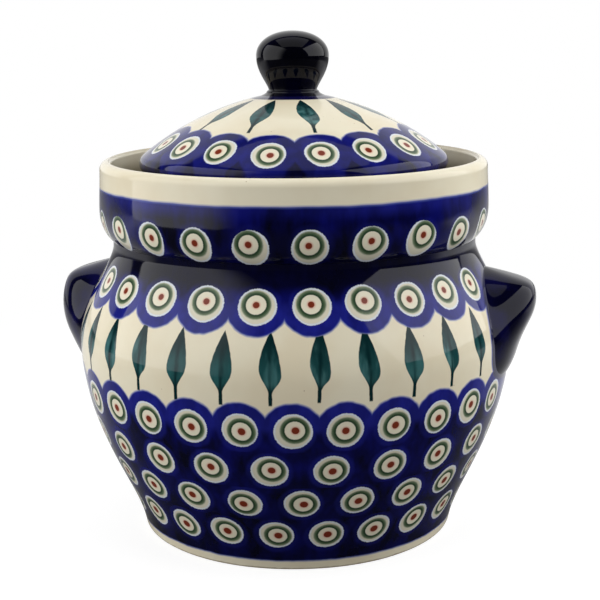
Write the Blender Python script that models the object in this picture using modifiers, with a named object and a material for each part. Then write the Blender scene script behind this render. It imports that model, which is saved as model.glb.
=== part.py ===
"""Fermentation crock: a turned stoneware pot with a water channel, a bell lid and two half-moon weights.

Everything is in metres, with +Z up. The crock stands on Z = 0, its axis is Z and its handles lie along X.
An outline is a list of (radius, height) points that is spun about Z.
"""

import math

import bmesh
import bpy
from mathutils import Matrix

# Fits and turning
GAP = 0.0003                    # between two pieces that are luted together or rest on each other
POT_SIDES = 48                  # flats around the pot, the collar and the lid
KNOB_SIDES = 28
CORNER_PULL = 0.55              # of a curve's control points towards the corner that it rounds

# Pot wall
FOOT_RADIUS = 0.0890
FOOT_RING_WIDTH = 0.0100
FOOT_RECESS = 0.0035
FOOT_ROUNDING = 0.0014
BELLY_RADIUS = 0.1230
BELLY_HEIGHT = 0.1106
BELLY_LOWER_FULLNESS = 0.0503   # how far the upright belly runs on downwards
BELLY_UPPER_FULLNESS = 0.0201   # and upwards
FOOT_LEAN = math.radians(11.9)  # of the wall where it leaves the foot
FOOT_LEAN_RUN = 0.0253
WAIST_RADIUS = 0.1026
WAIST_HEIGHT = 0.1635
WAIST_RUN = 0.0105
WALL = 0.0080
FLOOR = 0.0085
FLOOR_FILLET = 0.0100
LOWER_WALL_STEPS = 10
UPPER_WALL_STEPS = 9

# Water channel: the neck ring, a shelf with the neck on its inner edge, luted into the pot's shoulder
SHELF_RISE = 0.0085             # of the channel's floor above the waist
SHELF = 0.0075
SHOULDER_SPRING = 0.0185        # below the shelf's underside, where the inner wall starts to close in
SEAT_DEPTH = 0.0055             # of the rebate that the collar is luted into
SEAT_WIDTH = 0.0095
MOUTH_RADIUS = 0.0665
NECK_WALL = 0.0068
NECK_HEIGHT = 0.0275
THROAT_ROUNDING = 0.0050
CHANNEL_FILLET = 0.0035
SHOULDER_STEPS = 6              # along the curve inside, from the pot's wall to the throat
SHOULDER_STEPS_OF_POT = 3       # of these that belong to the pot, up to the ledge that carries the ring

# Collar
COLLAR_RADIUS = 0.1095
COLLAR_WALL = 0.0072
COLLAR_WIDEST = 0.0240          # above its seat
COLLAR_SWELL = 0.0165           # height over which it swells out above its seat
COLLAR_SWELL_PULL = 0.0090
COLLAR_TOE_LEAN = math.radians(40)
COLLAR_TOE_PULL = 0.0036
RIM_RISE = 0.0385               # of the rim above the channel's floor
RIM_DRAW_IN = 0.0008            # of the rim from the collar's widest circle
RIM_ROUNDING = 0.0048           # outer corner of the rim
RIM_LIP = 0.0012                # its crisp inner corner
RIM_DISH = 0.0010               # which lies a little lower

# Lid
LID_RADIUS = 0.0868
LID_EDGE_RISE = 0.0360          # of its widest circle above the channel's floor
LID_EDGE_ROUNDING = 0.0060
LID_TUCK = -58.0                # degrees below level where the rounded edge meets the skirt
LID_WALL = 0.0062
LID_CORNER = 0.0090             # of the rounded corner inside, between skirt and dome
DOME_RADIUS = 0.1580
DOME_OFFSET = 0.0150            # of the dome's arc beyond the axis, which gives a slight peak
SKIRT_RADIUS = 0.0836
SKIRT_EDGE = 0.0012             # chamfer at the skirt's foot
SKIRT_TOP_DROP = 0.0130         # from the lid's widest circle down to the plain skirt
GAS_NOTCH_RADIUS = 0.0028
GAS_NOTCH_DROP = 0.0005         # of its middle below the skirt's foot
GAS_NOTCH_SIDES = 12

# Knob
KNOB_RADIUS = 0.0203
KNOB_HEIGHT = 0.0366            # above the edge of its foot
KNOB_CROWN = 0.0138             # from the widest circle to the top
KNOB_TAPER = 0.0075             # upright run below the widest circle
KNOB_WAIST_RADIUS = 0.0135
KNOB_WAIST_HEIGHT = 0.0046
KNOB_WAIST_PULL = 0.0038
KNOB_BEAD = 0.0012
KNOB_BEAD_DROP = 0.0014
KNOB_FOOT_RADIUS = 0.0229
KNOB_FOOT_EDGE = 0.0008
KNOB_ROUNDNESS = 2.25           # 2 is an ellipse, more is squarer
KNOB_CAP_STEPS = 7
KNOB_UNDERSIDE_STEPS = 3

# Handles
HANDLE_FOOT = 0.0920            # lowest point
HANDLE_BROADEST = 0.1120
HANDLE_TOP = 0.1505
HANDLE_HALF_WIDTH = 0.0435
HANDLE_REACH = 0.0260           # of the two slopes' meeting point, which the crest rounds off
HANDLE_CREST = 0.855            # share of the handle's height
HANDLE_CREST_SHARPNESS = 5.0
HANDLE_ARCH = 1.80              # fullness of the root's outline above its broadest line
HANDLE_BASE = 2.90              # and below it
HANDLE_ROOT_FLARE = 1.35        # how softly the lug leaves the wall
HANDLE_CHEEK = 3.4              # how full its cheeks are
HANDLE_EDGE = 0.0008
HANDLE_ROWS = 14
HANDLE_COLUMNS = 14

# Half-moon weights
WEIGHT_RADIUS = 0.0780
WEIGHT_THICKNESS = 0.0180
WEIGHT_SPLIT = 0.0020           # between the two halves
WEIGHT_ROUNDING = 0.0035
FINGER_NOTCH_RADIUS = 0.0130
WEIGHT_ARC_STEPS = 20
FINGER_NOTCH_STEPS = 8

# Heights and radii that follow
FLOOR_TOP = FOOT_RECESS + FLOOR
SHELF_TOP = WAIST_HEIGHT + SHELF_RISE
RIM_HEIGHT = SHELF_TOP + RIM_RISE
LID_EDGE_HEIGHT = SHELF_TOP + LID_EDGE_RISE
SEAT_HEIGHT = SHELF_TOP - SEAT_DEPTH
SEAT_RADIUS = WAIST_RADIUS - SEAT_WIDTH
SHELF_UNDERSIDE = SHELF_TOP - SHELF
NECK_RADIUS = MOUTH_RADIUS + NECK_WALL
NECK_TOP = SHELF_TOP + NECK_HEIGHT
COLLAR_BORE = COLLAR_RADIUS - COLLAR_WALL
COLLAR_BASE = SEAT_HEIGHT + GAP
SKIRT_FOOT = SHELF_TOP + GAP
SKIRT_BORE = SKIRT_RADIUS - LID_WALL
FOOT_WALL_START = (FOOT_RADIUS + FOOT_ROUNDING, FOOT_ROUNDING * 3)
LID_EDGE_MIDDLE = LID_RADIUS - LID_EDGE_ROUNDING
DOME_END = math.asin((LID_EDGE_MIDDLE + DOME_OFFSET) / (DOME_RADIUS - LID_EDGE_ROUNDING))
DOME_MIDDLE = LID_EDGE_HEIGHT - (DOME_RADIUS - LID_EDGE_ROUNDING) * math.cos(DOME_END)

# Colours, as red, green, blue and alpha
CREAM = (0.80, 0.74, 0.58, 1.0)
COBALT = (0.020, 0.028, 0.180, 1.0)
NAVY = (0.008, 0.008, 0.030, 1.0)
BISQUE = (0.72, 0.68, 0.60, 1.0)


def bezier(start, start_pull, end_pull, end, steps):
    """Points of a cubic curve, without its first point."""
    points = []
    for i in range(1, steps + 1):
        t = i / steps
        weights = ((1 - t) ** 3, 3 * (1 - t) ** 2 * t, 3 * (1 - t) * t ** 2, t ** 3)
        corners = (start, start_pull, end_pull, end)
        points.append(tuple(sum(w * c[axis] for w, c in zip(weights, corners)) for axis in (0, 1)))
    return points


def rounded(start, corner, end, steps):
    """Points of a curve that leaves start towards a corner and comes from it to end, without start."""
    pulls = [tuple(p[axis] + (corner[axis] - p[axis]) * CORNER_PULL for axis in (0, 1)) for p in (start, end)]
    return bezier(start, pulls[0], pulls[1], end, steps)


def arc(centre, radius, from_degrees, to_degrees, steps):
    """Points on a circle, both ends included; 0 degrees points outwards and 90 points up."""
    points = []
    for i in range(steps + 1):
        angle = math.radians(from_degrees + (to_degrees - from_degrees) * i / steps)
        points.append((centre[0] + radius * math.cos(angle), centre[1] + radius * math.sin(angle)))
    return points


def outer_wall():
    """The pot's outer wall, from the foot up over the belly to the waist."""
    radius, height = FOOT_WALL_START
    foot_pull = (radius + FOOT_LEAN_RUN * math.sin(FOOT_LEAN), height + FOOT_LEAN_RUN * math.cos(FOOT_LEAN))
    belly = (BELLY_RADIUS, BELLY_HEIGHT)
    lower = bezier(FOOT_WALL_START, foot_pull, (BELLY_RADIUS, BELLY_HEIGHT - BELLY_LOWER_FULLNESS),
                   belly, LOWER_WALL_STEPS)
    upper = bezier(belly, (BELLY_RADIUS, BELLY_HEIGHT + BELLY_UPPER_FULLNESS),
                   (WAIST_RADIUS, WAIST_HEIGHT - WAIST_RUN), (WAIST_RADIUS, WAIST_HEIGHT), UPPER_WALL_STEPS)
    return [FOOT_WALL_START] + lower + upper


def wall_radius(height):
    """Radius of the pot's outer wall at a height between the foot and the waist."""
    points = outer_wall()
    for (low_radius, low), (high_radius, high) in zip(points, points[1:]):
        if low <= height <= high:
            return low_radius + (high_radius - low_radius) * (height - low) / (high - low)
    return points[0][0] if height < points[0][1] else points[-1][0]


def inset(points, distance):
    """The same run of points, moved sideways towards the axis, square to the run."""
    moved = []
    for i, (radius, height) in enumerate(points):
        before = points[max(i - 1, 0)]
        after = points[min(i + 1, len(points) - 1)]
        along = (after[0] - before[0], after[1] - before[1])
        length = math.hypot(*along)
        moved.append((radius - distance * along[1] / length, height + distance * along[0] / length))
    return moved


def rising_wall():
    """Points of the pot's inner wall, from above the rounded floor corner to where the shoulder closes in."""
    clear_of_corner = FLOOR_TOP + FLOOR_FILLET * 1.5
    spring = SHELF_UNDERSIDE - SHOULDER_SPRING
    return [point for point in inset(outer_wall(), WALL) if clear_of_corner < point[1] < spring]


def shoulder():
    """The curve inside, from the top of the inner wall to the shelf's underside at the throat."""
    end = (MOUTH_RADIUS + THROAT_ROUNDING, SHELF_UNDERSIDE)
    return rounded(rising_wall()[-1], (WAIST_RADIUS - WALL, SHELF_UNDERSIDE), end, SHOULDER_STEPS)


def pot_outline():
    """From the middle of the floor inside, up the wall to the ledge and the seat, and down to the foot."""
    corner_height = FLOOR_TOP + FLOOR_FILLET
    corner_radius = wall_radius(corner_height) - WALL - FLOOR_FILLET
    corner = arc((corner_radius, corner_height), FLOOR_FILLET, -90, -10, 3)
    closing = shoulder()[:SHOULDER_STEPS_OF_POT]
    ledge = [(SEAT_RADIUS + GAP, closing[-1][1]), (SEAT_RADIUS + GAP, SEAT_HEIGHT), (WAIST_RADIUS, SEAT_HEIGHT)]
    ring_inside = FOOT_RADIUS - FOOT_RING_WIDTH
    foot = [(FOOT_RADIUS, 0.0), (ring_inside, 0.0), (ring_inside - FOOT_RECESS, FOOT_RECESS), (0.0, FOOT_RECESS)]
    return [(0.0, FLOOR_TOP)] + corner + rising_wall() + closing + ledge + outer_wall()[::-1] + foot


def neck_outline():
    """The ring that closes the shoulder in: from the pot's ledge in to the throat, up the neck and out again."""
    curve = shoulder()
    ledge_radius, ledge_height = curve[SHOULDER_STEPS_OF_POT - 1]
    throat_radius = MOUTH_RADIUS + THROAT_ROUNDING
    throat = arc((throat_radius, SHELF_UNDERSIDE + THROAT_ROUNDING), THROAT_ROUNDING, -90, -180, 2)[1:]
    half_neck = NECK_WALL / 2
    neck_top = arc((MOUTH_RADIUS + half_neck, NECK_TOP - half_neck), half_neck, 180, 0, 6)
    fillet = arc((NECK_RADIUS + CHANNEL_FILLET, SHELF_TOP + CHANNEL_FILLET), CHANNEL_FILLET, 180, 270, 2)
    edge = [(SEAT_RADIUS, SHELF_TOP), (SEAT_RADIUS, ledge_height + GAP)]
    return [(ledge_radius, ledge_height + GAP)] + curve[SHOULDER_STEPS_OF_POT:] + throat + neck_top + fillet + edge


def collar_outline():
    """The luted ring outside the channel, from the top of its rim down its outer side and back up inside."""
    rim_middle = (COLLAR_RADIUS - RIM_DRAW_IN - RIM_ROUNDING, RIM_HEIGHT - RIM_ROUNDING)
    rim = arc(rim_middle, RIM_ROUNDING, 90, 0, 4)
    widest = (COLLAR_RADIUS, COLLAR_BASE + COLLAR_WIDEST)
    swell_top = (COLLAR_RADIUS, COLLAR_BASE + COLLAR_SWELL)
    toe_pull = (WAIST_RADIUS + COLLAR_TOE_PULL * math.cos(COLLAR_TOE_LEAN),
                COLLAR_BASE + COLLAR_TOE_PULL * math.sin(COLLAR_TOE_LEAN))
    side = bezier(swell_top, (COLLAR_RADIUS, swell_top[1] - COLLAR_SWELL_PULL), toe_pull,
                  (WAIST_RADIUS, COLLAR_BASE), 6)
    tongue = [(SEAT_RADIUS + GAP, COLLAR_BASE), (SEAT_RADIUS + GAP, SHELF_TOP)]
    fillet = arc((COLLAR_BORE - CHANNEL_FILLET, SHELF_TOP + CHANNEL_FILLET), CHANNEL_FILLET, -90, 0, 3)
    lip = arc((COLLAR_BORE + RIM_LIP, RIM_HEIGHT - RIM_DISH - RIM_LIP), RIM_LIP, 180, 100, 2)
    return rim + [widest, swell_top] + side + tongue + fillet + lip


def dome_height(radius):
    """Height of the lid's outer dome at a radius inside its rounded edge."""
    return DOME_MIDDLE + math.sqrt(DOME_RADIUS ** 2 - (radius + DOME_OFFSET) ** 2)


def dome_arc(depth, end, steps):
    """Points of the dome from the axis out to the angle end, at a depth below its outer skin."""
    size = DOME_RADIUS - depth
    start = math.asin(DOME_OFFSET / size)
    points = arc((-DOME_OFFSET, DOME_MIDDLE), size, 90 - math.degrees(start), 90 - math.degrees(end), steps)
    return [(0.0, points[0][1])] + points[1:]


def lid_outline():
    """Bell lid: dome, rounded edge, tucked-in skirt and back up inside. Heights are from the skirt's foot."""
    edge = arc((LID_EDGE_MIDDLE, LID_EDGE_HEIGHT), LID_EDGE_ROUNDING, 90 - math.degrees(DOME_END), LID_TUCK, 7)[1:]
    skirt = [(SKIRT_RADIUS, LID_EDGE_HEIGHT - SKIRT_TOP_DROP), (SKIRT_RADIUS, SKIRT_FOOT + SKIRT_EDGE),
             (SKIRT_RADIUS - SKIRT_EDGE, SKIRT_FOOT), (SKIRT_BORE + SKIRT_EDGE, SKIRT_FOOT),
             (SKIRT_BORE, SKIRT_FOOT + SKIRT_EDGE)]
    inner_end = math.asin((SKIRT_BORE - LID_CORNER + DOME_OFFSET) / (DOME_RADIUS - LID_WALL))
    inside = dome_arc(LID_WALL, inner_end, 8)
    corner = (SKIRT_BORE, inside[-1][1] - LID_CORNER * math.tan(inner_end))
    corner_foot = (SKIRT_BORE, corner[1] - LID_CORNER)
    points = dome_arc(0.0, DOME_END, 10) + edge + skirt + [corner_foot]
    points += rounded(corner_foot, corner, inside[-1], 3)[:-1] + inside[::-1]
    return [(radius, height - SKIRT_FOOT) for radius, height in points]


def knob_outline():
    """Bulb knob with a spread foot that follows the dome. Heights are from the dome at the foot's edge."""
    widest = KNOB_HEIGHT - KNOB_CROWN
    cap = [(0.0, KNOB_HEIGHT)]
    for i in range(1, KNOB_CAP_STEPS):
        turn = math.pi / 2 * (1 - i / KNOB_CAP_STEPS)
        cap.append((KNOB_RADIUS * math.cos(turn) ** (2 / KNOB_ROUNDNESS),
                    widest + KNOB_CROWN * math.sin(turn) ** (2 / KNOB_ROUNDNESS)))
    cap.append((KNOB_RADIUS, widest))
    bead = (KNOB_WAIST_RADIUS + KNOB_BEAD, KNOB_WAIST_HEIGHT - KNOB_BEAD_DROP)
    taper = bezier(cap[-1], (KNOB_RADIUS, widest - KNOB_TAPER), (bead[0], KNOB_WAIST_HEIGHT + KNOB_WAIST_PULL),
                   (KNOB_WAIST_RADIUS, KNOB_WAIST_HEIGHT), 6)
    foot_edge = (KNOB_FOOT_RADIUS, GAP + KNOB_FOOT_EDGE)
    spread = rounded(bead, (bead[0], foot_edge[1] + KNOB_FOOT_EDGE), foot_edge, 4)
    underside = []
    for i in range(KNOB_UNDERSIDE_STEPS + 1):
        radius = KNOB_FOOT_RADIUS * (1 - i / KNOB_UNDERSIDE_STEPS)
        underside.append((radius, dome_height(radius) - dome_height(KNOB_FOOT_RADIUS) + GAP))
    return cap + taper + [bead] + spread + underside


def collection(name):
    made = bpy.data.collections.new(name)
    bpy.context.scene.collection.children.link(made)
    return made


def material(name, colour, roughness):
    """A glaze or a bare clay body: a plain glossy or matt surface, never metallic."""
    made = bpy.data.materials.new(name)
    made.use_nodes = True
    shader = made.node_tree.nodes["Principled BSDF"]
    shader.inputs["Base Color"].default_value = colour
    shader.inputs["Roughness"].default_value = roughness
    shader.inputs["Metallic"].default_value = 0.0
    made.diffuse_color = colour
    return made


def add_object(name, data, group, height=0.0, parent=None):
    """Links an object whose origin lies on the crock's axis, at a height above the ground."""
    made = bpy.data.objects.new(name, data)
    group.objects.link(made)
    made.location.z = height
    if parent is not None:
        made.parent = parent
        made.location.z = height - parent.location.z
    return made


def turned(name, outline, sides, closed, group, finish, height=0.0, parent=None):
    """A piece spun from its outline with a Screw modifier."""
    mesh = bpy.data.meshes.new(name)
    work = bmesh.new()
    points = [work.verts.new((radius, 0.0, rise)) for radius, rise in outline]
    for first, second in zip(points, points[1:]):
        work.edges.new((first, second))
    if closed:
        work.edges.new((points[-1], points[0]))
    work.to_mesh(mesh)
    work.free()
    mesh.materials.append(finish)
    made = add_object(name, mesh, group, height, parent)
    screw = made.modifiers.new("turn", "SCREW")
    screw.axis = "Z"
    screw.angle = math.tau
    screw.screw_offset = 0.0
    screw.steps = sides
    screw.render_steps = sides
    screw.use_merge_vertices = True
    screw.merge_threshold = 0.00001
    screw.use_smooth_shade = True
    return made


def handle_half_width(height):
    """The handle's root is an arch: broad and flat below, drawn in towards the top."""
    if height > HANDLE_BROADEST:
        rise, fullness = (height - HANDLE_BROADEST) / (HANDLE_TOP - HANDLE_BROADEST), HANDLE_ARCH
    else:
        rise, fullness = (HANDLE_BROADEST - height) / (HANDLE_BROADEST - HANDLE_FOOT), HANDLE_BASE
    return HANDLE_HALF_WIDTH * max(1 - rise ** fullness, 0.0) ** (1 / fullness)


def handle_reach(share):
    """How far the lug stands out of the wall: a long slope up to the crest, then a short one to the top."""
    if share in (0.0, 1.0):
        return 0.0
    underside = share / HANDLE_CREST
    top = (1 - share) / (1 - HANDLE_CREST)
    power = -HANDLE_CREST_SHARPNESS
    return HANDLE_REACH * (underside ** power + top ** power + 1) ** (1 / power)


def handle_rows(work, front):
    """The lug's front skin or its back, as rows of vertices from its foot to its top."""
    rows = []
    for i in range(HANDLE_ROWS + 1):
        share = (1 - math.cos(math.pi * i / HANDLE_ROWS)) / 2
        height = HANDLE_FOOT + (HANDLE_TOP - HANDLE_FOOT) * share
        wall = wall_radius(height) + GAP
        half_angle = handle_half_width(height) / wall
        row = []
        for k in range(HANDLE_COLUMNS + 1):
            across = 2 * k / HANDLE_COLUMNS - 1
            swell = 1 - (1 - (1 - abs(across)) ** HANDLE_ROOT_FLARE) ** HANDLE_CHEEK
            radius = wall + (HANDLE_EDGE + handle_reach(share) * swell if front else 0.0)
            turn = half_angle * across
            row.append(work.verts.new((radius * math.cos(turn), radius * math.sin(turn), height)))
        rows.append(row)
    return rows


def handle_mesh():
    """An ear-shaped lug at +X, lofted row by row from the pot's own wall and closed around its edge."""
    mesh = bpy.data.meshes.new("handle")
    work = bmesh.new()
    front = handle_rows(work, True)
    back = handle_rows(work, False)
    for skin in (front, back):
        for low, high in zip(skin, skin[1:]):
            for k in range(HANDLE_COLUMNS):
                work.faces.new((low[k], low[k + 1], high[k + 1], high[k]))
    for end in (0, -1):
        for i in range(HANDLE_ROWS):
            work.faces.new((front[i][end], front[i + 1][end], back[i + 1][end], back[i][end]))
    for end in (0, -1):
        for k in range(HANDLE_COLUMNS):
            work.faces.new((front[end][k], front[end][k + 1], back[end][k + 1], back[end][k]))
    bmesh.ops.remove_doubles(work, verts=work.verts, dist=GAP / 10)
    bmesh.ops.recalc_face_normals(work, faces=work.faces)
    work.to_mesh(mesh)
    work.free()
    mesh.shade_smooth()
    mesh.set_sharp_from_angle(angle=math.radians(50))
    return mesh


def weight_outline():
    """Half a disc towards +X, with a half-round finger notch in its straight side, as flat (x, y) points."""
    straight = WEIGHT_SPLIT / 2
    half_turn = 90 - math.degrees(math.asin(straight / WEIGHT_RADIUS))
    half_notch = 90 - math.degrees(math.asin(straight / FINGER_NOTCH_RADIUS))
    return (arc((0.0, 0.0), WEIGHT_RADIUS, -half_turn, half_turn, WEIGHT_ARC_STEPS)
            + arc((0.0, 0.0), FINGER_NOTCH_RADIUS, half_notch, -half_notch, FINGER_NOTCH_STEPS))


def weight_curve(finish):
    """A half-moon stone: its outline as a flat curve, thickened both ways from its middle."""
    curve = bpy.data.curves.new("weight", "CURVE")
    curve.dimensions = "2D"
    curve.fill_mode = "BOTH"
    curve.extrude = WEIGHT_THICKNESS / 2
    outline = weight_outline()
    spline = curve.splines.new("POLY")
    spline.points.add(len(outline) - 1)
    for point, (x, y) in zip(spline.points, outline):
        point.co = (x, y, 0.0, 1.0)
    spline.use_cyclic_u = True
    curve.materials.append(finish)
    return curve


def round_edges(stone):
    """Welds the stone's two faces to its side and rounds every sharp edge."""
    weld = stone.modifiers.new("weld", "WELD")
    weld.merge_threshold = 0.00001
    edges = stone.modifiers.new("rounded edges", "BEVEL")
    edges.width = WEIGHT_ROUNDING
    edges.segments = 2
    edges.limit_method = "ANGLE"
    edges.angle_limit = math.radians(40)


def gas_notches(lid, cutters):
    """Two half-round notches in the skirt's foot, at the front and back, which let gas out under the water."""
    flat_up = Matrix.Rotation(math.pi / GAS_NOTCH_SIDES, 4, "Z")
    lying = Matrix.Rotation(math.pi / 2, 4, "X") @ flat_up
    for place, side in (("back", 1), ("front", -1)):
        mesh = bpy.data.meshes.new("gas_notch_cutter")
        work = bmesh.new()
        bmesh.ops.create_cone(work, cap_ends=True, segments=GAS_NOTCH_SIDES, radius1=GAS_NOTCH_RADIUS,
                              radius2=GAS_NOTCH_RADIUS, depth=LID_WALL * 3, matrix=lying)
        work.to_mesh(mesh)
        work.free()
        cutter = add_object("gas_notch_cutter_" + place, mesh, cutters, SKIRT_FOOT - GAS_NOTCH_DROP)
        cutter.location.y = side * (SKIRT_RADIUS - LID_WALL / 2)
        cutter.hide_render = True
        cutter.display_type = "WIRE"
        cut = lid.modifiers.new("gas notch", "BOOLEAN")
        cut.operation = "DIFFERENCE"
        cut.solver = "EXACT"
        cut.object = cutter


def build():
    for old in list(bpy.data.objects):
        bpy.data.objects.remove(old)
    parts = collection("fermentation_crock")
    cutters = collection("cutters")
    cream_glaze = material("cream glaze", CREAM, 0.12)
    cobalt_glaze = material("cobalt glaze", COBALT, 0.10)
    navy_glaze = material("navy glaze", NAVY, 0.08)
    bare_clay = material("bare clay", BISQUE, 0.75)

    crock = add_object("crock", None, parts)
    turned("jar_body", pot_outline(), POT_SIDES, False, parts, cream_glaze, parent=crock)
    turned("neck_ring", neck_outline(), POT_SIDES, True, parts, cream_glaze, parent=crock)
    turned("channel_collar", collar_outline(), POT_SIDES, True, parts, cobalt_glaze, parent=crock)
    lug = handle_mesh()
    lug.materials.append(navy_glaze)
    add_object("handle_right", lug, parts, parent=crock)
    add_object("handle_left", lug, parts, parent=crock).rotation_euler.z = math.pi

    lid = turned("lid_dome", lid_outline(), POT_SIDES, False, parts, cobalt_glaze, SKIRT_FOOT)
    gas_notches(lid, cutters)
    turned("lid_knob", knob_outline(), KNOB_SIDES, False, parts, navy_glaze, dome_height(KNOB_FOOT_RADIUS), lid)

    stone = weight_curve(bare_clay)
    middle = FLOOR_TOP + GAP + WEIGHT_THICKNESS / 2
    round_edges(add_object("weight_right", stone, parts, middle, crock))
    left = add_object("weight_left", stone, parts, middle, crock)
    left.rotation_euler.z = math.pi
    round_edges(left)


build()
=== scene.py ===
"""Looks of the fermentation crock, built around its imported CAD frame.

The visible pieces are finer turnings of the same outlines, in metres, with +Z up and the pot's axis on Z.
The painted ornament is worked out by shader nodes from two numbers at every point of the surface: the turn
round the axis, in degrees from the front towards +X, and the height or the radius in millimetres.
"""

from math import asin, cos, degrees, exp, hypot, pi, radians, sin, sqrt, tan, tau

import bmesh
import bpy
from mathutils import Matrix, Vector, noise


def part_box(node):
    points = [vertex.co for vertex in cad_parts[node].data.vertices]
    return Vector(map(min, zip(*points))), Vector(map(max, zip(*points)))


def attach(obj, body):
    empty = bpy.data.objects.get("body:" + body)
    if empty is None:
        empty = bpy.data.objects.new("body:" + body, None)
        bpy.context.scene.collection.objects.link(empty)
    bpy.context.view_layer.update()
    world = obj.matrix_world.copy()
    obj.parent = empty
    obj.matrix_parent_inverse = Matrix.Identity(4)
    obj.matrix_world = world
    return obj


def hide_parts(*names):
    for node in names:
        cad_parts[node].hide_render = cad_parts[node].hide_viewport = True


PER_METRE = 1000
MM = 1 / PER_METRE

# Fineness of the pieces
POT_SIDES = 288
KNOB_SIDES = 128
SHARP_ANGLE = radians(38)
LUG_SHARP_ANGLE = radians(70)
HAND_WOBBLE = 0.00016  # how far a turned wall wanders from true
WOBBLE_SIZE = 0.045  # of one swelling or hollow
WOBBLE_FROM = 0.01  # radius where it begins
RIPPLE = 0.35  # strength of a finer wobble on top
RIPPLE_FINENESS = 3.1
CORNER_PULL = 0.55
SINK = 0.0004  # of a luted piece into the wall that carries it

# Pot wall
FOOT_RADIUS = 0.089
FOOT_RING_WIDTH = 0.01
FOOT_RECESS = 0.0035
FOOT_ROUNDING = 0.0014
BELLY_HEIGHT = 0.1106
BELLY_LOWER_FULLNESS = 0.0503
BELLY_UPPER_FULLNESS = 0.0201
FOOT_LEAN = radians(11.9)
FOOT_LEAN_RUN = 0.0253
WAIST_RADIUS = 0.1026
WAIST_HEIGHT = 0.1635
WAIST_RUN = 0.0105
WALL = 0.008
FLOOR = 0.0085
FLOOR_FILLET = 0.01
SHELF = 0.0075
SHOULDER_SPRING = 0.0185
SEAT_WIDTH = 0.0095
MOUTH_RADIUS = 0.0665
NECK_WALL = 0.0068
NECK_HEIGHT = 0.0275
THROAT_ROUNDING = 0.005
CHANNEL_FILLET = 0.0035

# Collar
COLLAR_WALL = 0.0072
COLLAR_WIDEST = 0.024
COLLAR_SWELL = 0.0165
COLLAR_SWELL_PULL = 0.009
COLLAR_TOE_LEAN = radians(40)
COLLAR_TOE_PULL = 0.0036
RIM_DRAW_IN = 0.0008
RIM_ROUNDING = 0.0048
RIM_LIP = 0.0012
RIM_DISH = 0.001
RIM_LEAN = 0.0012  # of the rim, down towards the camera
RIM_LEAN_FROM = 0.0165  # below the rim, where the lean begins

# Lid
LID_EDGE_HEIGHT = 0.208
LID_EDGE_ROUNDING = 0.006
LID_TUCK = -58
LID_WALL = 0.0062
LID_CORNER = 0.009
DOME_RADIUS = 0.158
DOME_OFFSET = 0.015
SKIRT_RADIUS = 0.0836
SKIRT_EDGE = 0.0012
SKIRT_TOP_DROP = 0.013
GAS_NOTCH_RADIUS = 0.0028
GAS_NOTCH_DROP = 0.0005
GAS_NOTCH_SIDES = 33

# Knob
KNOB_RADIUS = 0.0203
KNOB_CROWN = 0.0138
KNOB_CROWN_STEPS = 28
KNOB_TAPER = 0.0083
KNOB_WAIST_RADIUS = 0.0135
KNOB_WAIST_HEIGHT = 0.0046
KNOB_WAIST_PULL = 0.0038
KNOB_BEAD = 0.0012
KNOB_BEAD_DROP = 0.0014
KNOB_FOOT_EDGE = 0.0008
KNOB_ROUNDNESS = 2.1
KNOB_FOOT_CREEP = 0.0004  # of its foot's edge onto the dome
KNOB_UNDER_EDGE = 0.98  # share of the foot's radius
KNOB_UNDER_MIDDLE = 0.01

# Handles
HANDLE_BROADEST = 0.112
HANDLE_HALF_WIDTH = 0.0435
HANDLE_REACH = 0.026
HANDLE_CREST = 0.855
HANDLE_CREST_SHARPNESS = 5
HANDLE_ARCH = 1.8
HANDLE_BASE = 2.9
HANDLE_ROOT_FLARE = 1.35
HANDLE_CHEEK = 3.4
HANDLE_CELLS = 72
LUG_HOLLOW = 0.0045  # of the right lug's underside, more than the left's
LUG_HOLLOW_AT = 0.38  # share of the lug's height
LUG_HOLLOW_SPREAD = 0.24
LUG_SETTLE = 0.0009  # of the right lug's top below the left's

# Half-moon weights
WEIGHT_SPLIT = 0.002
WEIGHT_ROUNDING = 0.0035
WEIGHT_ROUNDING_STEPS = 6
WEIGHT_EDGE_ANGLE = radians(40)
FINGER_NOTCH_RADIUS = 0.013
WEIGHT_ARC_STEPS = 90
FINGER_NOTCH_STEPS = 28

# Camera, fitted to the photographed outline
VIEW_TURN = radians(11)  # the crock stands turned, its right handle towards the camera
CAMERA_DISTANCE = 0.72
CAMERA_SIDE = 0.0027
CAMERA_HEIGHT = 0.2774
CAMERA_PITCH = 0.2054
CAMERA_ROLL = -0.0109
LENS_MM = 76.33
SENSOR_MM = 36

# Light: each soft box's turn from the camera's side, elevation, width, height, radiance, distance
SOFT_BOXES = {
    "left box": (-66.75, 22, 2.09, 1.5, 2.4, 1.3),
    "right box": (84, 28, 1.8, 1.16, 2.8, 1.3),
    "top box": (0, 84, 1.1, 1.1, 0.86, 1.1),
}
LAMP_AIM_HEIGHT = 0.15
FADE_FROM = 0.64  # share of the left box's width up to which it is full
FADE_TO = 0.06
BACKDROP_HALF_ANGLE = radians(59.2)
BACKDROP_SOFTNESS = 0.02
BACKDROP_TURN = radians(2.2)
DARK_STUDIO = 0.03
FLOOR_RADIUS = 6
FLOOR_SIDES = 96
FLOOR_LIFT = 0.8  # for the camera alone, so that the floor reads white
FLOOR_LIT = (-110, 240)  # where the floor turns light in the glaze
FLOOR_FADE = (250, 620)  # radii between which the floor runs out to white

# Ornament, in millimetres and degrees from the front
COLLAR_LINE = 196  # cream above, blue below
FOOT_LINE = 5.6
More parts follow.
